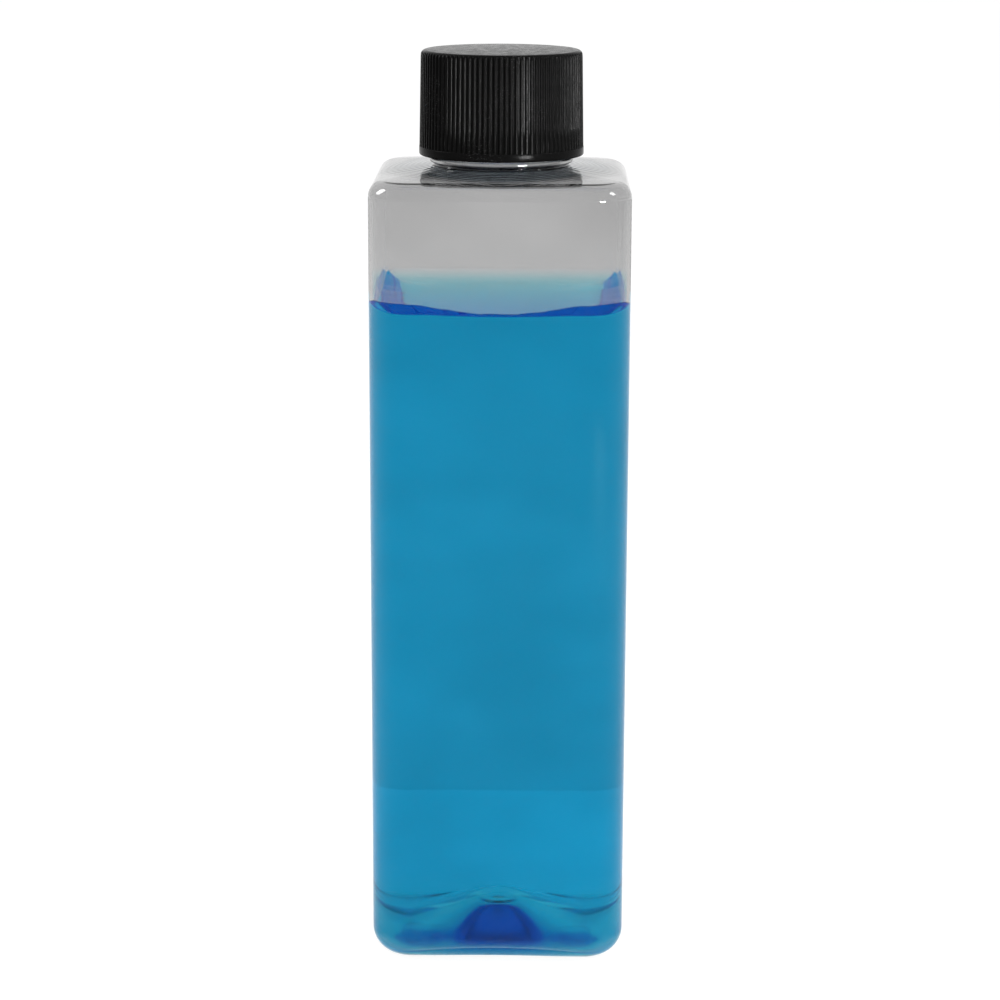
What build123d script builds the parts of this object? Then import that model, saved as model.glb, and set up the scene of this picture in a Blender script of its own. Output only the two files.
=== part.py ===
"""Square clear PET media bottle with its liquid, and a black ribbed screw cap with a foam liner.

Sizes are in millimetres. The origin is on the ground under the middle of the bottle, and +Z is up.
"""
from build123d import *
from math import pi
import os

# Body of the bottle
body_width = 47.4            # across the flats, both ways
corner_radius = 7.5          # upright corners
wall = 0.65                  # blown walls and crown
base_wall = 1.2              # thicker plastic under the bottle
base_radius = 5.1            # rounding where the walls turn under
shoulder_height = 146.8      # where the walls would meet the crown if that edge were sharp
shoulder_radius = 3.0        # rounding of that edge
crown_rise = 1.4             # climb of the crown from that edge to the neck
crown_margin = 0.9           # level ring between the crown's climb and the neck
crown_flat = 0.1             # short flats left on the near-round inner edge of the crown

# Push-up: a shallow cone under the bottle, which leaves a foot at each corner
push_up_height = 6.8         # its level top above the ground
push_up_margin = 0.1         # from its edge, at the ground, out to the flats of the walls
push_up_top_radius = 4.4
push_up_seam = 22.5          # degrees from the flats to where its surface starts
gate_recess_radius = 3.8     # shallow round recess about the moulding gate
gate_recess_depth = 0.3
gate_radius = 1.3            # the gate's stub
gate_length = 0.9

# Neck finish of the 28 mm size; its thread is cut back to the root
neck_root_radius = 12.5
neck_wall = 1.6
neck_height = 18.5           # from the crown to the rim
neck_fillet = 0.7            # at the foot of the neck
throat_chamfer = 1.2         # where the bore opens into the body
rim_chamfer = 0.4
bead_width = 0.7             # how far the ring at the neck's foot stands out from the root
bead_height = 0.9
bead_chamfer = 0.3
bead_lift = 0.6              # from the crown to the ring
thread_height = 1.2          # how far the thread stands out from the root

# Cap
cap_foot_gap = 1.9           # from the crown to the cap's foot
cap_wall = 1.2               # skirt, from its bore to the ribs' crests at the foot
cap_taper = 0.3              # how much smaller the crests' radius is at the top
cap_top_wall = 1.5
cap_dome = 0.25              # rise of the top's middle above its edge
cap_edge_radius = 0.9        # rounding of the top edge
cap_foot_chamfer = 0.25      # under the smooth band
cap_band_height = 1.55       # smooth band below the ribs
cap_band_proud = 0.06        # how far the band stands out past the ribs' crests
thread_clearance = 0.2       # between the neck's thread and the cap's bore
rib_count = 96
rib_depth = 0.28
groove_share = 0.62          # a groove's open width as a share of the ribs' pitch
groove_floor_share = 0.3     # its floor's width as a share of its open width

# Liner and contents
liner_thickness = 1.2
liner_clearance = 0.25       # round the liner, inside the cap
headspace = 23.4             # from the liquid's surface to the sharp edge of the shoulder
fill_clearance = 0.05        # between the liquid and the plastic

# Heights and radii that follow
crown_height = shoulder_height + crown_rise
rim_height = crown_height + neck_height
ceiling_height = rim_height + liner_thickness
cap_top_height = ceiling_height + cap_top_wall
cap_foot_height = crown_height + cap_foot_gap
fill_height = shoulder_height - headspace
neck_bore_radius = neck_root_radius - neck_wall
bead_radius = neck_root_radius + bead_width
crown_top_radius = neck_root_radius + crown_margin
cap_bore = neck_root_radius + thread_height + thread_clearance
crest_at_foot = cap_bore + cap_wall
crest_at_top = crest_at_foot - cap_taper
cap_edge_height = cap_top_height - cap_dome
cap_dome_sphere = (crest_at_top**2 + cap_dome**2) / (2 * cap_dome)
band_top = cap_foot_height + cap_band_height
band_radius = crest_at_foot + cap_band_proud
taper_slope = cap_taper / (cap_edge_height - band_top)
groove_half = pi * crest_at_foot / rib_count * groove_share
groove_floor_half = groove_half * groove_floor_share
groove_mouth_half = 2 * groove_half - groove_floor_half
push_up_radius = body_width / 2 - push_up_margin


def rings(builder, radius):
    """The round edges of one radius"""
    circles = builder.edges().filter_by(GeomType.CIRCLE)
    return circles.filter_by(lambda edge: abs(edge.radius - radius) < 0.001)


def blown_form(inset, floor):
    """The body's outer form (inset 0, floor 0), or the same form drawn in by a wall and a floor."""
    width = body_width - 2 * inset
    edge_height = shoulder_height - inset
    with BuildPart() as form:
        with BuildSketch(Plane.XY.offset(floor)):
            RectangleRounded(width, width, corner_radius - inset)
        extrude(amount=edge_height - floor)

        # The crown turns from the rounded square of the walls to the round foot of the neck
        with BuildSketch(Plane.XY.offset(edge_height)):
            RectangleRounded(width, width, corner_radius - inset)
        with BuildSketch(Plane.XY.offset(edge_height + crown_rise)):
            crown_top = 2 * crown_top_radius
            RectangleRounded(crown_top, crown_top, crown_top_radius - crown_flat / 2)
        loft()

        shoulder = form.edges().filter_by_position(Axis.Z, edge_height, edge_height)
        fillet(shoulder, shoulder_radius - inset)
        fillet(form.edges().group_by(Axis.Z)[0], base_radius - inset)

        # The push-up rises with the floor, so the plastic over it keeps one thickness.
        # It is turned, which keeps its seam away from the flats and the corners.
        with Locations((0, 0, floor + push_up_height / 2)):
            Cone(
                push_up_radius,
                push_up_top_radius,
                push_up_height,
                rotation=(0, 0, push_up_seam),
                mode=Mode.SUBTRACT,
            )
    return form.part


outer_form = blown_form(0, 0)
cavity_form = blown_form(wall, base_wall)
liquid_form = blown_form(wall + fill_clearance, base_wall + fill_clearance)

# Everything that is open inside the bottle: the body's cavity and the bore of the neck
with BuildPart() as cavity:
    add(cavity_form)
    with BuildSketch(Plane.XY.offset(crown_height - wall)):
        Circle(neck_bore_radius)
    extrude(amount=neck_height + wall)
    chamfer(rings(cavity, neck_bore_radius).sort_by(Axis.Z)[0], throat_chamfer)

with BuildPart() as bottle:
    add(outer_form)
    with BuildSketch(Plane.XY.offset(crown_height)):
        Circle(neck_root_radius)
    extrude(amount=neck_height)
    fillet(rings(bottle, neck_root_radius).sort_by(Axis.Z)[0], neck_fillet)
    with BuildSketch(Plane.XY.offset(crown_height + bead_lift)):
        Circle(bead_radius)
    extrude(amount=bead_height)
    chamfer(rings(bottle, bead_radius), bead_chamfer)

    add(cavity.part, mode=Mode.SUBTRACT)
    chamfer(bottle.edges().group_by(Axis.Z)[-1], rim_chamfer)

    # The gate's recess and stub, under the middle of the push-up
    with BuildSketch():
        Circle(gate_recess_radius)
        Circle(gate_radius, mode=Mode.SUBTRACT)
    extrude(amount=push_up_height + gate_recess_depth, mode=Mode.SUBTRACT)
    with BuildSketch(Plane.XY.offset(push_up_height + gate_recess_depth - gate_length)):
        Circle(gate_radius)
    extrude(amount=gate_length)
bottle.part.label = "bottle"

with BuildPart() as liquid:
    add(liquid_form)
    split(bisect_by=Plane.XY.offset(fill_height), keep=Keep.BOTTOM)
liquid.part.label = "liquid"

with BuildPart() as liner:
    with BuildSketch(Plane.XY.offset(rim_height)):
        Circle(cap_bore - liner_clearance)
    extrude(amount=liner_thickness)
liner.part.label = "liner"

# One groove between two ribs, which follows the skirt's taper up from the smooth band
with BuildPart() as groove:
    with BuildSketch(Plane.XY.offset(band_top)):
        with BuildLine():
            Polyline(
                (crest_at_foot - rib_depth, -groove_floor_half),
                (crest_at_foot + rib_depth, -groove_mouth_half),
                (crest_at_foot + rib_depth, groove_mouth_half),
                (crest_at_foot - rib_depth, groove_floor_half),
                close=True,
            )
        make_face()
    extrude(amount=cap_top_height - band_top, dir=(-taper_slope, 0, 1))

with BuildPart() as cap:
    # Half section: the ceiling and bore, the smooth band, the ribs' crests and the domed top
    with BuildSketch(Plane.XZ):
        with BuildLine():
            Polyline(
                (0, cap_top_height),
                (0, ceiling_height),
                (cap_bore, ceiling_height),
                (cap_bore, cap_foot_height),
                (band_radius, cap_foot_height),
                (band_radius, band_top - cap_band_proud),
                (crest_at_foot, band_top),
                (crest_at_top, cap_edge_height),
            )
            RadiusArc((crest_at_top, cap_edge_height), (0, cap_top_height), -cap_dome_sphere)
        make_face()
    revolve(axis=Axis.Z)
    fillet(rings(cap, crest_at_top), cap_edge_radius)
    chamfer(rings(cap, band_radius).sort_by(Axis.Z)[0], cap_foot_chamfer)
    with PolarLocations(0, rib_count):
        add(groove.part, mode=Mode.SUBTRACT)
cap.part.label = "cap"

os.makedirs("parts", exist_ok=True)
export_step(bottle.part, "parts/bottle.step")
export_step(liquid.part, "parts/liquid.step")
export_step(liner.part, "parts/liner.step")
export_step(cap.part, "parts/cap.step")
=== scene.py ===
"""Square media bottle: blown body, liquid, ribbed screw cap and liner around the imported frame.

Profiles are worked out in millimetres and written to meshes in metres.
"""

from math import atan2, cos, pi, radians, sin

import bpy
import numpy as np
from mathutils import Euler, Matrix, Vector


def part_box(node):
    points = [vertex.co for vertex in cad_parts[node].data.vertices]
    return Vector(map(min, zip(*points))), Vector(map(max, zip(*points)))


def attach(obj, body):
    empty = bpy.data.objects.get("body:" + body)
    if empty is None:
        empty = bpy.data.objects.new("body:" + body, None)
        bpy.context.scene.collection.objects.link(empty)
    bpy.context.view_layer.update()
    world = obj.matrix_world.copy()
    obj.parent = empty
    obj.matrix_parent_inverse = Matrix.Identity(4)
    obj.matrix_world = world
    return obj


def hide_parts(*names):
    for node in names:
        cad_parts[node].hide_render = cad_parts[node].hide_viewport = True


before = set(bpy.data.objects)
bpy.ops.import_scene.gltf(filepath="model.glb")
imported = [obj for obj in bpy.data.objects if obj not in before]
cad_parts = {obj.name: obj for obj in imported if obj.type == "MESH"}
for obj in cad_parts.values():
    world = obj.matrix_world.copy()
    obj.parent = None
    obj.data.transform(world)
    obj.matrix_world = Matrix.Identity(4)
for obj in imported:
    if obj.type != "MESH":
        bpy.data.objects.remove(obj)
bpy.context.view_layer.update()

MM = 0.001

# Overall sizes, read from the frame in millimetres
BODY_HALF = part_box("bottle")[1].x / MM
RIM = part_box("bottle")[1].z / MM
CAP_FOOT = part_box("cap")[0].z / MM
CAP_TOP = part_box("cap")[1].z / MM
LINER_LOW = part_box("liner")[0].z / MM
LINER_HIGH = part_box("liner")[1].z / MM
LINER_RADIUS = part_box("liner")[1].x / MM
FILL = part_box("liquid")[1].z / MM

# Blown body
CORNER = 7.5                 # upright corners
WALL = 0.65
BASE_WALL = 1.2
BASE_RADIUS = 5.1            # rounding where the walls turn under
INNER_BASE_RADIUS = 6.2      # the same on the inside, where the plastic is thicker
SHOULDER_RADIUS = 3.0
SHOULDER_CENTRE = 144.2      # height of the centre of that rounding
SHOULDER_TURN = radians(84)  # how far the rounding turns before the crown goes on
CROWN = 148.2                # level ring at the foot of the neck
CROWN_RADIUS = 13.4
CROWN_START_SLOPE = 0.105
CROWN_END_SLOPE = 0.04

# Push-up and gate
PUSH_UP = 6.8
PUSH_UP_RADIUS = BODY_HALF - 0.1    # where its flank comes down to the ground
PUSH_UP_TOP = 4.4            # radius of the level disc on top
PUSH_UP_DIP = 0.3            # how far the hollow of its flank dips under a straight line
PUSH_UP_BLEND = 0.5          # rounding round that disc
PUSH_UP_SQUARE = 0.14        # how far its upper part takes on the body's square shape
FOOT_BLEND = 0.7             # rounding between the push-up and the base's edge
INNER_FOOT_BLEND = 2.0       # the same on the inside
GATE_RECESS_RADIUS = 3.8
GATE_RECESS_DEPTH = 0.3
GATE_RADIUS = 1.3
GATE_LENGTH = 0.9
GATE_EDGE = 0.3              # width of the recess's and the stub's rounded edges

# Neck
NECK_ROOT = 12.5
NECK_BORE = 10.9
THROAT_RADIUS = 1.6
BEAD_RADIUS = 13.2
BEAD_LIFT = 0.6
BEAD_HEIGHT = 0.9
BEAD_ROUND = 0.3
BEAD_TOP_FILLET = 0.4
RIM_RADIUS = 0.4
THREAD_LEAD = 4.233
THREAD_TURNS = 1.5
THREAD_HEIGHT = 1.2
THREAD_ROOT_WIDTH = 2.3
THREAD_CREST_WIDTH = 0.9
THREAD_BELOW_RIM = 2.6       # from the rim down to the middle of the thread's upper end
THREAD_START = RIM - THREAD_BELOW_RIM - THREAD_LEAD * THREAD_TURNS
THREAD_RUN_OUT = radians(25)
NECK_STEP = 0.15             # between the rings that carry the thread

# Cap
CAP_BORE = 13.9
CREST_AT_FOOT = 15.1
CREST_AT_TOP = 14.8
BAND_RADIUS = 15.16
BAND_HEIGHT = 1.55
CAP_DOME = 0.25
CAP_EDGE_RADIUS = 0.9
CAP_FOOT_RADIUS = 0.3
RIBS = 96
RIB_DEPTH = 0.28
RIB_POINTS = 12
RIB_START = 0.06             # how far over the band the grooves are at full depth
BAND_EDGE = 0.08             # rounding of the band's upper edge
GROOVE_HALF = 0.36           # half a groove's open width, as a share of the ribs' pitch
GROOVE_FLANK = 0.2           # how much of that pitch one flank of a groove takes
CAP_THREAD_HEIGHT = 0.95
CAP_THREAD_WIDTH = 1.9
CAP_THREAD_CREST_WIDTH = 0.7
CAP_THREAD_RUN_OUT = radians(15)
CAP_STEP = 0.125             # between the rings that carry the cap's thread
CAP_CORNER = 0.4             # rounding between the cap's bore and ceiling
CAP_LIP = 0.25               # rounding between the cap's bore and foot

# Liner
LINER_EDGE = 0.15
IMPRINT = 0.05               # how deep the neck's rim has pressed into the foam
IMPRINT_MARGIN = 0.1         # how far the imprint reaches past the rim on each side
IMPRINT_FLANK = 0.3

# Liquid
INTO_WALL = 0.06             # the liquid reaches this far into the plastic, so that it wets it
CAPILLARY_LENGTH = 2.7
CLIMBS = 0.0002, 1.38        # of a surface all but level and one nearly upright, in those lengths
WALL_CLIMB = 1.9             # how far the liquid climbs the walls
FRONT_CLIMB = 0.7            # how much more by the corners of the front wall
FRONT_DIP = 1.9              # and less in its middle
FRONT_DIP_WIDTH = radians(27.8)
FRONT_REACH = radians(54)
FRONT_SLOPE = 0.92           # of the surface where it meets the front wall
FRONT_TOE = 0.15             # rounding of that slope's foot
SIDE_DIP = 1.5               # and less along the side walls
SIDE_DIP_WIDTH = radians(32)
BACK_CORNER_CLIMB = 0.5      # and more in the two back corners
BACK_CORNER_WIDTH = radians(2.5)
RIPPLE = 0.05                # unevenness of the wetting line
EDGE_BAND = 0.02             # faces this narrow on both sides keep the wetting line crisp
MENISCUS_REACH = 6.0         # from the walls to where the surface is all but level


# ---------------------------------------------------------------- rings

def ring_angles(middle, corner, flat_steps=18, corner_steps=24):
    """Directions of a ring's points: even along the flats and, closer, round the corners."""
    half = middle + corner
    tangent = atan2(middle, half)
    flat = np.linspace(-tangent, tangent, 2 * flat_steps, endpoint=False)
    turn = np.linspace(0, pi / 2, corner_steps, endpoint=False)
    rounded = np.arctan2(middle + corner * np.sin(turn), middle + corner * np.cos(turn))
    quarter = np.concatenate([flat, rounded])
    return np.concatenate([quarter + pi / 2 * k for k in range(4)])


ANGLES = ring_angles(BODY_HALF - CORNER, CORNER)
EVEN = np.linspace(0, 2 * pi, RIBS * RIB_POINTS, endpoint=False)


def rounded_square(half, corner, angles=ANGLES):
    """How far a rounded square's outline is from its middle, in each direction."""
    middle = half - corner
    across, along = np.abs(np.cos(angles)), np.abs(np.sin(angles))
    low, high = np.minimum(across, along), np.maximum(across, along)
    reach = low + high
    arc = middle * reach + np.sqrt(np.maximum(corner**2 - middle**2 * (2 - reach**2), 0))
    return np.where(half * low / high <= middle, half / high, arc)


def smooth(x):
    """An eased step, from 0 at or below 0 to 1 at or above 1."""
    x = np.clip(x, 0, 1)
    return x * x * (3 - 2 * x)


def round_max(a, b, width):
    """The larger of two heights, with the edge between them rounded."""
    return np.maximum(a, b) + np.maximum(width - np.abs(a - b), 0) ** 2 / (4 * width)


def ring(radius, height, angles=ANGLES):
    """Points about the axis, with the radius and height fixed or given for each direction."""
    radius, height = radius + 0 * angles, height + 0 * angles
    return np.stack([radius * np.cos(angles), radius * np.sin(angles), height], axis=1)


def arc(radius, height, size, start, end, steps):
    """Points (radius, height) along an arc of a profile, from one angle to another in degrees."""
    turn = np.radians(np.linspace(start, end, steps + 1))
    return [(radius + size * np.cos(t), height + size * np.sin(t)) for t in turn]


def neighbours(count):
    """Each point of a closed ring with the next."""
    return [(i, (i + 1) % count) for i in range(count)]


def strip(low, high, count):
    """Faces between two rings, from the numbers of their first points."""
    return [(low + i, low + j, high + j, high + i) for i, j in neighbours(count)]


def fan(low, tip, count):
    """Faces between a ring and a single point."""
    return [(low + i, low + j, tip) for i, j in neighbours(count)]


def turned(faces):
    """The same faces, seen from the other side."""
    return [face[::-1] for face in faces]


def mesh_object(name, rings, first, last, materials, slots=None):
    """A closed mesh through rings of points, from the point first to the point last.

    The slots are the materials' numbers for the faces after each ring.
    """
    count = len(rings[0])
    starts = [1 + k * count for k in range(len(rings))]
    points = [first] + [tuple(p) for r in rings for p in r] + [last]
    faces = turned(fan(starts[0], 0, count))
    for low, high in zip(starts, starts[1:]):
        faces += strip(low, high, count)
    faces += fan(starts[-1], len(points) - 1, count)
    kinds = np.repeat([0] + (slots or [0] * len(rings)), count)
    return finished(name, points, faces, kinds, materials)


def finished(name, points, faces, kinds, materials):
    """An object of these points in millimetres, smooth-shaded."""
    mesh = bpy.data.meshes.new(name)
    mesh.from_pydata((np.array(points) * MM).tolist(), [], faces)
    for material in materials:
        mesh.materials.append(material)
    mesh.polygons.foreach_set("material_index", kinds)
    mesh.polygons.foreach_set("use_smooth", [True] * len(faces))
    mesh.update()
    piece = bpy.data.objects.new(name, mesh)
    bpy.context.scene.collection.objects.link(piece)
    return piece


# ---------------------------------------------------------------- blown body

def base_rings(inset, floor):
    """Rings from the middle of the base to the foot of the walls, on one side of the plastic."""
    half, corner = BODY_HALF - inset, CORNER - inset
    turn = BASE_RADIUS if inset == 0 else INNER_BASE_RADIUS + WALL - inset
    blend = FOOT_BLEND if inset == 0 else INNER_FOOT_BLEND
    rim = rounded_square(half - turn, corner - turn)

    def dome(radius):
        share = (radius - PUSH_UP_TOP) / (PUSH_UP_RADIUS - PUSH_UP_TOP)
        share = share * (1 + PUSH_UP_SQUARE * (1 - share) * np.cos(4 * ANGLES))
        flank = PUSH_UP * (1 - share) - 4 * PUSH_UP_DIP * share * (1 - share)
        return floor - round_max(-PUSH_UP, -flank, PUSH_UP_BLEND)

    # Rings close together round the edges of the gate's stub and recess
    rings = []
    gate_steps = [0.35, 0.7, 0.85, 1.0, 1.1, 1.2, 1.3, 1.4, 1.5, 1.65, 1.9, 2.3, 2.8]
    gate_steps += [3.1, 3.3, 3.45, 3.6, 3.7, 3.8, 3.9, 4.0, 4.15, 4.4, 4.8]
    for radius in gate_steps:
        height = dome(radius)
        if inset == 0:
            recess = smooth((GATE_RECESS_RADIUS - radius) / GATE_EDGE + 0.5)
            stub = smooth((GATE_RADIUS - radius) / GATE_EDGE + 0.5)
            height += GATE_RECESS_DEPTH * recess - GATE_LENGTH * stub
        rings.append(ring(radius, height))
    for share in np.linspace(0, 1, 34)[1:]:
        out = 1 - (1 - share) ** 1.25
        radius = gate_steps[-1] + (rim - gate_steps[-1]) * out
        rings.append(ring(radius, round_max(floor, dome(radius), blend)))
    for t in np.radians(np.linspace(0, 90, 31)[1:]):
        drawn_in = turn * (1 - sin(t))
        radius = rounded_square(half - drawn_in, corner - drawn_in)
        height = floor + turn * (1 - cos(t))
        rings.append(ring(radius, round_max(height, dome(radius), blend)))
    return rings


def wall_rings(inset, low, high, steps):
    """Rings up a straight wall, between two heights, without the first."""
    radius = rounded_square(BODY_HALF - inset, CORNER - inset)
    shares = np.linspace(0, 1, steps + 1)[1:]
    return [ring(radius, low + (high - low) * share) for share in shares]


def crown_rings(inset, neck_radius):
    """Rings over the shoulder and up the crown to the foot of the neck."""
    half, corner, turn = BODY_HALF - inset, CORNER - inset, SHOULDER_RADIUS - inset
    rings = []
    for t in np.linspace(0, SHOULDER_TURN, 19)[1:]:
        drawn_in = turn * (1 - cos(t))
        radius = rounded_square(half - drawn_in, corner - drawn_in)
        rings.append(ring(radius, SHOULDER_CENTRE + turn * sin(t)))
    start = SHOULDER_CENTRE + turn * sin(SHOULDER_TURN)
    end = CROWN - inset
    run = radius - neck_radius
    for f in np.linspace(0, 1, 21)[1:]:
        climb = (f**3 - 2 * f**2 + f) * CROWN_START_SLOPE + (f**3 - f**2) * CROWN_END_SLOPE
        height = start + (end - start) * (3 * f**2 - 2 * f**3) + climb * run
        rings.append(ring(radius - run * f, height))
    return rings


def ridge(angles, height, start, root_width, crest_width, run_out):
    """How much of a screw thread's ridge stands at each angle of a ring, from 0 to 1."""
    out = 0 * angles
    length = 2 * pi * THREAD_TURNS
    # The thread passes an angle once in each turn
    for turn in range(-1, 3):
        along = angles + 2 * pi * turn
        off_middle = np.abs(height - start - THREAD_LEAD * along / (2 * pi))
        flank = (root_width - crest_width) / 2
        side = smooth((root_width / 2 - off_middle) / flank)
        ends = smooth(np.minimum(along, length - along) / run_out)
        out = np.maximum(out, side * np.where((along > 0) & (along < length), ends, 0))
    return out


def neck_rings():
    """Rings up the outside of the neck, over the rim and down the bore to the crown's inside."""
    groove = BEAD_LIFT / 2
    bead_low = CROWN + BEAD_LIFT
    bead_top = bead_low + BEAD_HEIGHT
    bead_flat = BEAD_RADIUS - BEAD_ROUND
    profile = arc(NECK_ROOT + groove, CROWN + groove, groove, 270, 90, 10)
    profile += arc(bead_flat, bead_low + BEAD_ROUND, BEAD_ROUND, -90, 0, 6)
    profile += arc(bead_flat, bead_top - BEAD_ROUND, BEAD_ROUND, 0, 90, 6)
    root = NECK_ROOT + BEAD_TOP_FILLET
    profile += arc(root, bead_top + BEAD_TOP_FILLET, BEAD_TOP_FILLET, 270, 180, 5)[1:]
    rings = [ring(r, z) for r, z in profile]

    low = THREAD_START - THREAD_ROOT_WIDTH
    high = RIM - RIM_RADIUS
    rings += [ring(NECK_ROOT, z) for z in np.linspace(profile[-1][1], low, 4)[1:-1]]
    widths = THREAD_ROOT_WIDTH, THREAD_CREST_WIDTH
    for z in np.arange(low, high, NECK_STEP):
        raised = ridge(ANGLES, z, THREAD_START, *widths, THREAD_RUN_OUT)
        rings.append(ring(NECK_ROOT + THREAD_HEIGHT * raised, z))

    inside = NECK_BORE + RIM_RADIUS
    profile = arc(NECK_ROOT - RIM_RADIUS, high, RIM_RADIUS, 0, 90, 6)
    profile += arc(inside, high, RIM_RADIUS, 90, 180, 6)
    ceiling = CROWN - WALL
    throat = arc(NECK_BORE + THROAT_RADIUS, ceiling + THROAT_RADIUS, THROAT_RADIUS, 180, 270, 12)
    profile += [(NECK_BORE, z) for z in np.linspace(high, throat[0][1], 8)[1:-1]]
    return rings + [ring(r, z) for r, z in profile + throat]


def off_direction(degrees):
    """How far each direction is from one direction."""
    return np.abs((ANGLES - radians(degrees) + pi) % (2 * pi) - pi)


# How much each direction belongs to the front wall, from 0 to 1
FRONT = np.exp(-((off_direction(270) / FRONT_REACH) ** 12))


def contact_height():
    """How high the liquid wets the walls, in each direction."""
    climb = WALL_CLIMB + FRONT_CLIMB * FRONT
    climb -= FRONT_DIP * np.exp(-((off_direction(270) / FRONT_DIP_WIDTH) ** 3))
    for side in (0, 180):
        climb -= SIDE_DIP * np.exp(-((off_direction(side) / SIDE_DIP_WIDTH) ** 6))
    for corner in (45, 135):
        climb += BACK_CORNER_CLIMB * np.exp(-off_direction(corner) / BACK_CORNER_WIDTH)
    # Three sets of waves, this many of each round the walls
    ripple = np.sin(23 * ANGLES + 1) + 0.7 * np.sin(41 * ANGLES) + 0.5 * np.sin(67 * ANGLES)
    return FILL + climb + RIPPLE * ripple


def meniscus(climb, distance):
    """Height of the liquid's surface over its level, at a distance from the wall it climbs.

    The curve is that of a wetting liquid, apart from the front wall, where it's an even slope.
    """
    z = np.geomspace(*CLIMBS, 400)
    out = np.arccosh(2 / z) - np.sqrt(4 - z**2)
    from_wall = np.interp(climb / CAPILLARY_LENGTH, z, out) + distance / CAPILLARY_LENGTH
    curved = CAPILLARY_LENGTH * np.interp(from_wall, out[::-1], z[::-1])
    even = FRONT_TOE * np.logaddexp(0, (climb - FRONT_SLOPE * distance) / FRONT_TOE)
    even -= (FRONT_TOE * np.logaddexp(0, climb / FRONT_TOE) - climb) * np.exp(-distance)
    return curved * (1 - FRONT) + even * FRONT


def make_bottle(materials):
    """The bottle, from the middle of its underside round over the rim to the middle of its floor.

    The materials are those of the walls and of the top, outside, and then the same inside.
    """
    low, high = BASE_RADIUS, SHOULDER_CENTRE
    outer_walls = base_rings(0, 0) + wall_rings(0, low, high, 10)
    outer_top = crown_rings(0, CROWN_RADIUS) + neck_rings()
    foot = BASE_WALL + INNER_BASE_RADIUS
    inner_walls = base_rings(WALL, BASE_WALL) + wall_rings(WALL, foot, high, 10)
    throat_end = NECK_BORE + THROAT_RADIUS
    inner_top = crown_rings(WALL, throat_end)[:-1]
    rings = outer_walls + outer_top + inner_top[::-1] + inner_walls[::-1]
    slots = [0] * (len(outer_walls) - 1) + [1] * len(outer_top)
    slots += [3] * len(inner_top) + [2] * (len(inner_walls) + 1)
    bottom = PUSH_UP + GATE_RECESS_DEPTH - GATE_LENGTH
    top = PUSH_UP + BASE_WALL
    piece = mesh_object("pet_bottle", rings, (0, 0, bottom), (0, 0, top), materials, slots)
    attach(piece, "bottle")
    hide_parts("bottle")


def make_liquid(material):
    """The liquid, from the middle of the floor up the walls and in over its own surface."""
    inset, floor = WALL - INTO_WALL, BASE_WALL - INTO_WALL
    half, corner = BODY_HALF - inset, CORNER - inset
    contact = contact_height()
    rings = base_rings(inset, floor)
    foot = floor + INNER_BASE_RADIUS + INTO_WALL
    rings += wall_rings(inset, foot, contact - EDGE_BAND, 12)
    rings += wall_rings(inset, contact - EDGE_BAND, contact, 1)
    climb = contact - FILL
    for distance in np.geomspace(EDGE_BAND, MENISCUS_REACH, 34):
        radius = rounded_square(half - distance, corner - distance)
        rings.append(ring(radius, FILL + meniscus(climb, distance)))
    edge = radius
    for share in np.linspace(1, 0, 17)[1:-1]:
        away = MENISCUS_REACH + (half - MENISCUS_REACH) * (1 - share)
        rings.append(ring(edge * share, FILL + meniscus(climb, away)))
    piece = mesh_object("blue_liquid", rings, (0, 0, PUSH_UP + floor), (0, 0, FILL), [material])
    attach(piece, "bottle")
    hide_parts("liquid")


# ---------------------------------------------------------------- cap and liner

def rib_groove(angles):
    """How deep a groove between ribs is at each angle, from 0 on a crest to 1 on its floor."""
    phase = (angles * RIBS / (2 * pi)) % 1
    return smooth((GROOVE_HALF - np.abs(phase - 0.5)) / GROOVE_FLANK)


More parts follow.
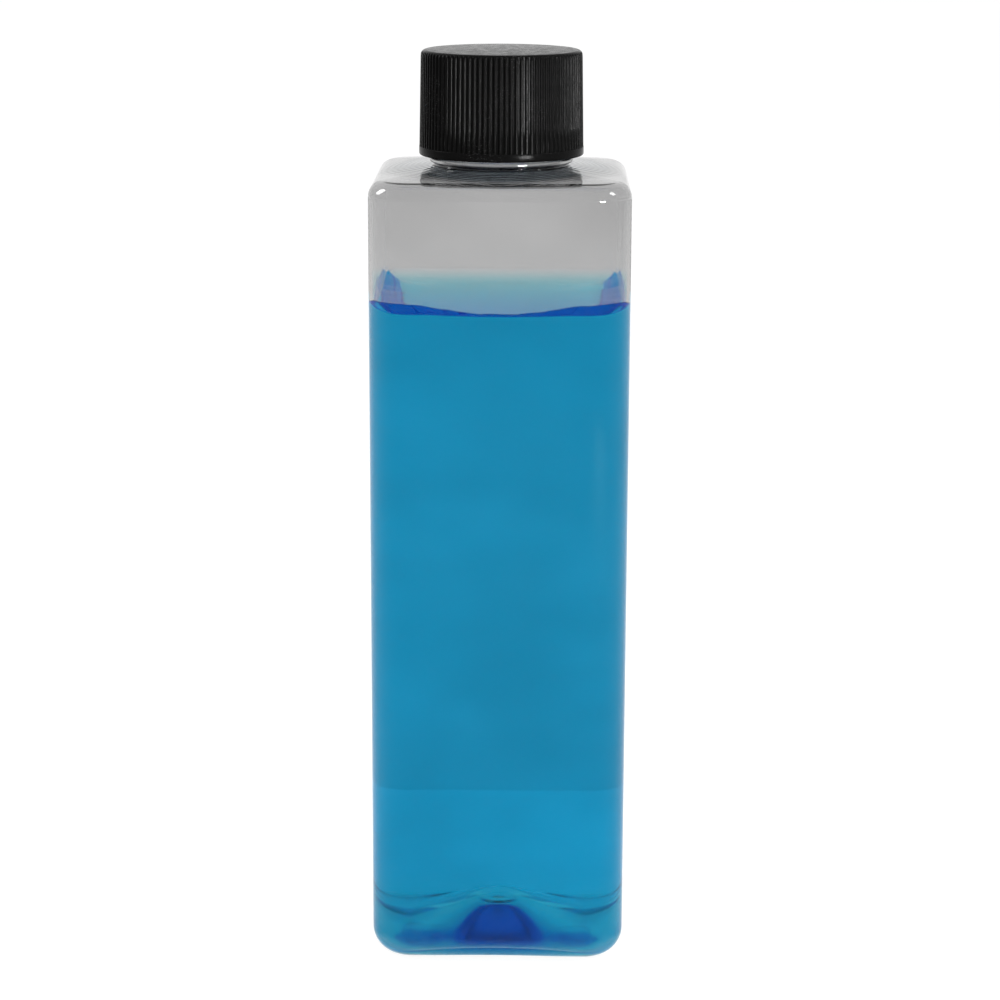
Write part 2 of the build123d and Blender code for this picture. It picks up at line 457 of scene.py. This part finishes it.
def make_cap(material):
    """The cap, from the middle of its ceiling down the bore and up the ribs to its top."""
    edge_height = CAP_TOP - CAP_DOME
    band_top = CAP_FOOT + BAND_HEIGHT
    ceiling = LINER_HIGH
    quarter = EVEN[::4]

    # Inside: the ceiling, the bore with its thread, and the foot
    flat = CAP_BORE - CAP_CORNER
    profile = arc(flat, ceiling - CAP_CORNER, CAP_CORNER, 90, 0, 4)[1:]
    inner = [ring(r, ceiling, quarter) for r in np.linspace(2, flat, 8)]
    inner += [ring(r, z, quarter) for r, z in profile]
    start = THREAD_START - THREAD_LEAD / 2
    widths = CAP_THREAD_WIDTH, CAP_THREAD_CREST_WIDTH
    bottom = CAP_FOOT + CAP_LIP
    for z in np.arange(ceiling - CAP_CORNER - 0.1, bottom + 0.2, -CAP_STEP):
        raised = ridge(quarter, z, start, *widths, CAP_THREAD_RUN_OUT)
        inner.append(ring(CAP_BORE - CAP_THREAD_HEIGHT * raised, z, quarter))
    profile = arc(CAP_BORE + CAP_LIP, bottom, CAP_LIP, 180, 270, 3)
    inner += [ring(r, z, quarter) for r, z in profile]

    # Outside: the smooth band, the ribs and the domed top
    band_low = CAP_FOOT + CAP_FOOT_RADIUS
    profile = arc(BAND_RADIUS - CAP_FOOT_RADIUS, band_low, CAP_FOOT_RADIUS, 270, 360, 4)
    profile += arc(BAND_RADIUS - BAND_EDGE, band_top - 0.1, BAND_EDGE, 0, 80, 3)
    outer = [ring(r, z, EVEN) for r, z in profile]
    groove = rib_groove(EVEN)
    slope = (CREST_AT_FOOT - CREST_AT_TOP) / (edge_height - band_top)
    edge_low = edge_height - CAP_EDGE_RADIUS

    def ribbed(z, depth):
        return CREST_AT_FOOT - slope * (z - band_top) - RIB_DEPTH * depth * groove

    for z, depth in ((band_top - 0.02, 0.0), (band_top, 0.5), (band_top + RIB_START, 1.0)):
        outer.append(ring(ribbed(z, depth), z, EVEN))
    for z in np.linspace(band_top + RIB_START, edge_low - 0.3, 5)[1:]:
        outer.append(ring(ribbed(z, 1), z, EVEN))
    rounding = arc(CREST_AT_TOP - CAP_EDGE_RADIUS, edge_low, CAP_EDGE_RADIUS, 0, 88, 14)
    for r, z in rounding:
        outer.append(ring(np.minimum(r, ribbed(z, 1)), z, EVEN))
    top_radius, top_edge = rounding[-1]
    for share in np.linspace(1, 0, 12)[1:-1]:
        outer.append(ring(top_radius * share, CAP_TOP - (CAP_TOP - top_edge) * share**2, EVEN))

    # The inside has a quarter as many points, so its faces at the foot take four of the outside's
    few, many = len(quarter), len(EVEN)
    inner_starts = [1 + k * few for k in range(len(inner))]
    outer_starts = [1 + len(inner) * few + k * many for k in range(len(outer))]
    points = [(0, 0, ceiling)] + [tuple(p) for r in inner + outer for p in r] + [(0, 0, CAP_TOP)]
    faces = turned(fan(inner_starts[0], 0, few))
    for low, high in zip(inner_starts, inner_starts[1:]):
        faces += strip(low, high, few)
    low, high = inner_starts[-1], outer_starts[0]
    for i, j in neighbours(few):
        outside = [high + (4 * i + step) % many for step in range(5)]
        faces.append((low + i, low + j, *outside[::-1]))
    for low, high in zip(outer_starts, outer_starts[1:]):
        faces += strip(low, high, many)
    faces += fan(outer_starts[-1], len(points) - 1, many)
    piece = finished("screw_cap", points, faces, [0] * len(faces), [material])
    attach(piece, "cap")
    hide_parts("cap")


def make_liner(material):
    """Foam disc, with the ring that the neck's rim has pressed into it."""
    around = EVEN[::4]

    # Rings close together round the two edges of the imprint
    steps = [2, 5, 8, 10, 10.6, 10.8, 10.9, 11.0, 11.1, 11.3, 11.7]
    steps += [12.1, 12.3, 12.4, 12.5, 12.6, 12.8, 13.2]
    middle, half = (NECK_ROOT + NECK_BORE) / 2, (NECK_ROOT - NECK_BORE) / 2 + IMPRINT_MARGIN
    rings = []
    for r in steps:
        pressed = IMPRINT * smooth((half - abs(r - middle)) / IMPRINT_FLANK)
        rings.append(ring(r, LINER_LOW + pressed, around))
    side = arc(LINER_RADIUS - LINER_EDGE, LINER_LOW + LINER_EDGE, LINER_EDGE, 270, 360, 4)
    side += arc(LINER_RADIUS - LINER_EDGE, LINER_HIGH - LINER_EDGE, LINER_EDGE, 0, 90, 4)
    rings += [ring(r, z, around) for r, z in side]
    rings += [ring(r, LINER_HIGH, around) for r in steps[::-1]]
    piece = mesh_object("foam_liner", rings, (0, 0, LINER_LOW), (0, 0, LINER_HIGH), [material])
    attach(piece, "liner")
    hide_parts("liner")


# ---------------------------------------------------------------- materials

# A tint is the share of the light that two outer faces let through. The walls' and top's tints are
# mostly painted shade, a grey that stands in for a mid-grey backdrop seen through the bottle, over
# the plastic's own faint tint
WALL_TINT_AND_SHADE = 0.41
TOP_TINT_AND_SHADE = 0.36
# Painted reflection of the black cap and painted shade under it, over the crown's thicker plastic
CROWN_THICK_AND_CAP_REFLECTION = (0.032, 0.042, 0.05, 1)
PAINTED_MOTTLE_SHADES = 0.87, 1.06          # painted light and shade of the walls, darker and lighter than their tint, for caustic light and shadow on the floor seen through them
BACK_FOOT_PAINTED_LIGHT = 1.28             # how much lighter the foot of the back wall is: a painted pool of light, for caustic light on the floor behind
UNDERSIDE_ROUGHNESS = 0.13   # the mould leaves the push-up less clear than the walls
WAVES = {"strength": 0.12, "distance": 0.0004}
CROWN_RING_PITCH = 0.0011
CROWN_RINGS = 0.22           # height of the crown's rings, as a share of the waves'

# Where looks change, each from one measure to another in metres
BACK_FOOT_LINE = -0.0015, -0.0011    # height, less how far back
UNDERSIDE_OUT = 0.019, 0.021         # from the axis
UNDERSIDE_UP = 0.008, 0.009          # above the ground
CROWN_OUT = 0.0195, 0.0235           # from the axis
CROWN_FOOT = 0.1455, 0.1470          # above the ground
CROWN_HEAD = 0.1483, 0.1486

# The walls, mostly wetted, hardly mirror their surroundings; the crown and neck do as PET does
WALL_FINISH = {"ior": 1.3, "gloss": 0.3}
TOP_FINISH = {"ior": 1.5, "gloss": 0.8}

LIQUID_COLOR = (0.01, 0.8954, 0.9941, 1)
LIQUID_DENSITY = 130         # how strongly it takes light up, for each metre
BLACK = 0.003
DUST = 0.06                  # the palest of the cap's dust


def material_nodes(name):
    """A new material, its node tree and its shader."""
    material = bpy.data.materials.new(name)
    material.use_nodes = True
    tree = material.node_tree
    return material, tree, tree.nodes["Principled BSDF"]


def noise(tree, scale, detail, stretch=(1, 1, 1)):
    """Noise in the part's own space, in features for each metre."""
    place = tree.nodes.new("ShaderNodeTexCoord")
    mapping = tree.nodes.new("ShaderNodeMapping")
    mapping.inputs["Scale"].default_value = stretch
    texture = tree.nodes.new("ShaderNodeTexNoise")
    texture.inputs["Scale"].default_value = scale
    texture.inputs["Detail"].default_value = detail
    tree.links.new(place.outputs["Object"], mapping.inputs["Vector"])
    tree.links.new(mapping.outputs["Vector"], texture.inputs["Vector"])
    return texture.outputs["Fac"]


def spread(tree, source, old_range, new_range):
    """A value moved from one range to another, and kept within it."""
    node = tree.nodes.new("ShaderNodeMapRange")
    sockets = "From Min", "From Max", "To Min", "To Max"
    for socket, value in zip(sockets, (*old_range, *new_range)):
        node.inputs[socket].default_value = value
    tree.links.new(source, node.inputs["Value"])
    return node.outputs["Result"]


def combined(tree, operation, first, second):
    """Two values, each a socket or a number, put together by a Math node."""
    node = tree.nodes.new("ShaderNodeMath")
    node.operation = operation
    for socket, value in zip(node.inputs, (first, second)):
        if isinstance(value, (int, float)):
            socket.default_value = value
        else:
            tree.links.new(value, socket)
    return node.outputs[0]


def blend(tree, share, first, second):
    """The socket of a colour between two colours."""
    ramp = tree.nodes.new("ShaderNodeValToRGB")
    ramp.color_ramp.elements[0].color = first
    ramp.color_ramp.elements[1].color = second
    tree.links.new(share, ramp.inputs["Fac"])
    return ramp.outputs["Color"]


def bump(tree, shader, height, strength, distance):
    """Unevenness of a surface, with the distance in metres."""
    node = tree.nodes.new("ShaderNodeBump")
    node.inputs["Strength"].default_value = strength
    node.inputs["Distance"].default_value = distance
    tree.links.new(height, node.inputs["Height"])
    tree.links.new(node.outputs["Normal"], shader.inputs["Normal"])


def in_part(tree, operation, *weights):
    """A measure of the place in the part, in metres, each coordinate first having its weight.

    The operation is LENGTH, or DOT_PRODUCT for the coordinates added up.
    """
    place = tree.nodes.new("ShaderNodeTexCoord")
    scaled = tree.nodes.new("ShaderNodeVectorMath")
    scaled.operation = "MULTIPLY"
    scaled.inputs[1].default_value = weights
    tree.links.new(place.outputs["Object"], scaled.inputs[0])
    node = tree.nodes.new("ShaderNodeVectorMath")
    node.operation = operation
    tree.links.new(scaled.outputs[0], node.inputs[0])
    node.inputs[1].default_value = (1, 1, 1)
    return node.outputs["Value"]


def from_axis(tree):
    """How far a point is from the neck's axis."""
    return in_part(tree, "LENGTH", 1, 1, 0)


def above_ground(tree):
    """How high a point is."""
    return in_part(tree, "DOT_PRODUCT", 0, 0, 1)


def clear_plastic_nodes(name, tint_and_shade, ior, gloss):
    """A clear plastic, with the slight waves of a blown surface."""
    material, tree, shader = material_nodes(name)
    # Painted shade: the outer faces' tint greys whatever is seen through them
    shader.inputs["Base Color"].default_value = (tint_and_shade, tint_and_shade, tint_and_shade, 1)
    shader.inputs["Roughness"].default_value = 0.0
    shader.inputs["IOR"].default_value = ior
    shader.inputs["Transmission Weight"].default_value = 1.0
    shader.inputs["Specular Tint"].default_value = (gloss, gloss, gloss, 1)
    waves = noise(tree, scale=45, detail=1, stretch=(1, 1, 0.35))
    return material, tree, shader, waves


def inside_plastic(name, finish):
    """The plastic's inner faces, which leave the tint to the outer ones."""
    material, tree, shader, waves = clear_plastic_nodes(name, 1.0, **finish)
    bump(tree, shader, waves, **WAVES)
    return material


def wall_plastic():
    """The walls' outside, with painted mottles of light and shade, a painted pool of light at the
    back's foot, and the duller underside.
    """
    material, tree, shader, waves = clear_plastic_nodes("clear_plastic", WALL_TINT_AND_SHADE, **WALL_FINISH)
    bump(tree, shader, waves, **WAVES)
    # Painted light and shade: soft mottles that stand in for caustic light and shadow on the floor
    # behind
    painted_mottle = noise(tree, scale=28, detail=2, stretch=(1, 1, 1.6))
    painted_mottle = spread(tree, painted_mottle, (0.35, 0.65), PAINTED_MOTTLE_SHADES)
    # Painted light: the foot of the back wall is lighter, standing in for caustic light on the
    # floor behind
    over_back = in_part(tree, "DOT_PRODUCT", 0, -1, 1)
    foot = spread(tree, over_back, BACK_FOOT_LINE, (BACK_FOOT_PAINTED_LIGHT, 1))
    shade = combined(tree, "MULTIPLY", painted_mottle, foot)
    level = combined(tree, "MULTIPLY", shade, WALL_TINT_AND_SHADE)
    tree.links.new(level, shader.inputs["Base Color"])

    within = spread(tree, from_axis(tree), UNDERSIDE_OUT, (UNDERSIDE_ROUGHNESS, 0))
    below = spread(tree, above_ground(tree), UNDERSIDE_UP, (1, 0))
    underside = combined(tree, "MULTIPLY", within, below)
    tree.links.new(underside, shader.inputs["Roughness"])
    return material


def top_plastic():
    """The crown and neck's outside: the crown round the neck is darker, a little for its thicker
    plastic and mostly as a painted reflection of the black cap and painted shade under it, and it
    is faintly ringed.
    """
    material, tree, shader, waves = clear_plastic_nodes("clear_plastic_top", TOP_TINT_AND_SHADE, **TOP_FINISH)
    radius, height = from_axis(tree), above_ground(tree)
    over_shoulder = spread(tree, height, CROWN_FOOT, (0, 1))
    under_neck = spread(tree, height, CROWN_HEAD, (1, 0))
    crown = combined(tree, "MULTIPLY", over_shoulder, under_neck)
    # Painted reflection of the cap and painted shade, on the crown round the neck; its rings follow
    # the same zone
    near = combined(tree, "MULTIPLY", spread(tree, radius, CROWN_OUT, (1, 0)), crown)
    tint_and_shade = blend(tree, near, (TOP_TINT_AND_SHADE, TOP_TINT_AND_SHADE, TOP_TINT_AND_SHADE, 1), CROWN_THICK_AND_CAP_REFLECTION)
    tree.links.new(tint_and_shade, shader.inputs["Base Color"])

    turns = combined(tree, "MULTIPLY", radius, 2 * pi / CROWN_RING_PITCH)
    rings = combined(tree, "SINE", turns, 0)
    rings = combined(tree, "MULTIPLY", rings, combined(tree, "MULTIPLY", near, CROWN_RINGS))
    bump(tree, shader, combined(tree, "ADD", waves, rings), **WAVES)
    return material


def blue_liquid():
    """Clear liquid that takes up the red, with faint swirls."""
    material, tree, shader = material_nodes("blue_liquid")
    swirls = noise(tree, scale=35, detail=3)
    swirls = spread(tree, swirls, (0.3, 0.7), (0.96, 1.0))
    tree.links.new(swirls, shader.inputs["Base Color"])
    shader.inputs["Roughness"].default_value = 0.0
    shader.inputs["IOR"].default_value = 1.33
    shader.inputs["Transmission Weight"].default_value = 1.0
    shader.inputs["Specular Tint"].default_value = (0.3, 0.3, 0.3, 1)
    absorption = tree.nodes.new("ShaderNodeVolumeAbsorption")
    absorption.inputs["Color"].default_value = LIQUID_COLOR
    absorption.inputs["Density"].default_value = LIQUID_DENSITY
    output = tree.nodes["Material Output"]
    tree.links.new(absorption.outputs["Volume"], output.inputs["Volume"])
    return material


def black_plastic():
    """Satin black, with scuffs and with pale specks of dust gathered in patches."""
    material, tree, shader = material_nodes("black_plastic")
    shader.inputs["Specular IOR Level"].default_value = 0.025
    scuffs = noise(tree, scale=900, detail=4)
    rough = spread(tree, scuffs, (0.35, 0.7), (0.16, 0.3))
    tree.links.new(rough, shader.inputs["Roughness"])
    specks = spread(tree, noise(tree, scale=4200, detail=1), (0.62, 0.72), (0, 1))
    patches = spread(tree, noise(tree, scale=60, detail=2), (0.45, 0.65), (0, 1))
    dust = combined(tree, "MULTIPLY", specks, patches)
    tree.links.new(spread(tree, dust, (0, 1), (BLACK, DUST)), shader.inputs["Base Color"])
    bump(tree, shader, noise(tree, scale=2600, detail=2), strength=0.5, distance=0.00004)
    return material


def foam():
    """Pale closed foam with small cells."""
    material, tree, shader = material_nodes("foam_liner")
    cells = noise(tree, scale=3500, detail=3)
    color = blend(tree, cells, (0.70, 0.70, 0.67, 1), (0.86, 0.86, 0.84, 1))
    tree.links.new(color, shader.inputs["Base Color"])
    shader.inputs["Roughness"].default_value = 0.8
    bump(tree, shader, cells, strength=0.4, distance=0.0001)
    return material


# ---------------------------------------------------------------- studio

LIGHT_LEVEL = 0.6            # the surroundings' own light
FLOOR_HALF = 3.0             # half the floor's side, in metres
FLOOR_GRAY = 0.25
FLOOR_GLOW = 0.86            # added to the floor for sight, so that its lit part reads white

# The camera, fitted to the photo's outline
IMAGE_WIDTH = 1000           # in pixels
FOCAL_PIXELS = 2791
SENSOR = 36                  # in millimetres
CAMERA_PLACE = (0.00794, -0.51519, 0.20828)
PITCH, HEADING, ROLL = 0.2359, 0.0155, 0.0033    # in radians


def seen_rays(tree):
    """1 for camera, glossy and transmission rays, and 0 for those that carry the light."""
    path = tree.nodes.new("ShaderNodeLightPath")
    glossy, through = path.outputs["Is Glossy Ray"], path.outputs["Is Transmission Ray"]
    direct = combined(tree, "MAXIMUM", path.outputs["Is Camera Ray"], glossy)
    return combined(tree, "MAXIMUM", direct, through)


def make_floor():
    """A plain floor that keeps the object's shadow and reads white elsewhere."""
    mesh = bpy.data.meshes.new("floor")
    corners = [(-FLOOR_HALF, -FLOOR_HALF, 0), (FLOOR_HALF, -FLOOR_HALF, 0)]
    corners += [(FLOOR_HALF, FLOOR_HALF, 0), (-FLOOR_HALF, FLOOR_HALF, 0)]
    mesh.from_pydata(corners, [], [(0, 1, 2, 3)])
    material = bpy.data.materials.new("floor")
    material.use_nodes = True
    tree = material.node_tree
    tree.nodes.clear()
    diffuse = tree.nodes.new("ShaderNodeBsdfDiffuse")
    diffuse.inputs["Color"].default_value = (FLOOR_GRAY, FLOOR_GRAY, FLOOR_GRAY, 1)
    glow = tree.nodes.new("ShaderNodeEmission")
    strength = spread(tree, seen_rays(tree), (0, 1), (0, FLOOR_GLOW))
    tree.links.new(strength, glow.inputs["Strength"])
    both = tree.nodes.new("ShaderNodeAddShader")
    output = tree.nodes.new("ShaderNodeOutputMaterial")
    tree.links.new(diffuse.outputs[0], both.inputs[0])
    tree.links.new(glow.outputs[0], both.inputs[1])
    tree.links.new(both.outputs[0], output.inputs["Surface"])
    mesh.materials.append(material)
    floor = bpy.data.objects.new("floor", mesh)
    bpy.context.scene.collection.objects.link(floor)


def make_world():
    """White surroundings that light the object less than they show."""
    world = bpy.data.worlds.new("studio")
    world.use_nodes = True
    tree = world.node_tree
    background = tree.nodes["Background"]
    background.inputs["Color"].default_value = (1, 1, 1, 1)
    strength = spread(tree, seen_rays(tree), (0, 1), (LIGHT_LEVEL, 1))
    tree.links.new(strength, background.inputs["Strength"])
    bpy.context.scene.world = world


def make_softbox(name, place, target, width, height, power):
    """A lamp in metres and watts, which isn't seen through the plastic and the liquid."""
    light = bpy.data.lights.new(name, "AREA")
    light.shape = "RECTANGLE"
    light.size, light.size_y = width, height
    light.energy = power
    lamp = bpy.data.objects.new(name, light)
    lamp.location = place
    lamp.visible_transmission = False
    lamp.rotation_euler = (Vector(target) - Vector(place)).to_track_quat("-Z", "Y").to_euler()
    bpy.context.scene.collection.objects.link(lamp)


def make_camera():
    """A camera that looks as the photo's did."""
    camera = bpy.data.cameras.new("camera")
    camera.sensor_width = SENSOR
    camera.lens = FOCAL_PIXELS / IMAGE_WIDTH * SENSOR
    camera.clip_start = 0.01
    holder = bpy.data.objects.new("camera", camera)
    turn = Euler((pi / 2 - PITCH, 0, HEADING)).to_matrix().to_4x4()
    turn = turn @ Matrix.Rotation(ROLL, 4, "Z")
    holder.matrix_world = Matrix.Translation(CAMERA_PLACE) @ turn
    bpy.context.scene.collection.objects.link(holder)
    bpy.context.scene.camera = holder


make_bottle([
    wall_plastic(),
    top_plastic(),
    inside_plastic("clear_plastic_inside", WALL_FINISH),
    inside_plastic("clear_plastic_top_inside", TOP_FINISH),
])
make_liquid(blue_liquid())
make_cap(black_plastic())
make_liner(foam())
make_floor()
make_world()
make_softbox("softbox_left", (-0.85, 0.15, 0.65), (0, 0, 0.12), width=0.3, height=0.5, power=6)
make_softbox("softbox_right", (0.8, -0.2, 0.75), (0, 0, 0.12), width=0.2, height=0.3, power=4)
make_softbox("low_light", (0.31, -0.455, 0.122), (0, 0, 0.16), width=0.14, height=0.035, power=4)
make_camera()

scene = bpy.context.scene
scene.view_settings.view_transform = "Standard"
# Enough bounces for light to cross the plastic and the liquid more than once
scene.cycles.max_bounces = 32
scene.cycles.transmission_bounces = 32
scene.cycles.glossy_bounces = 24
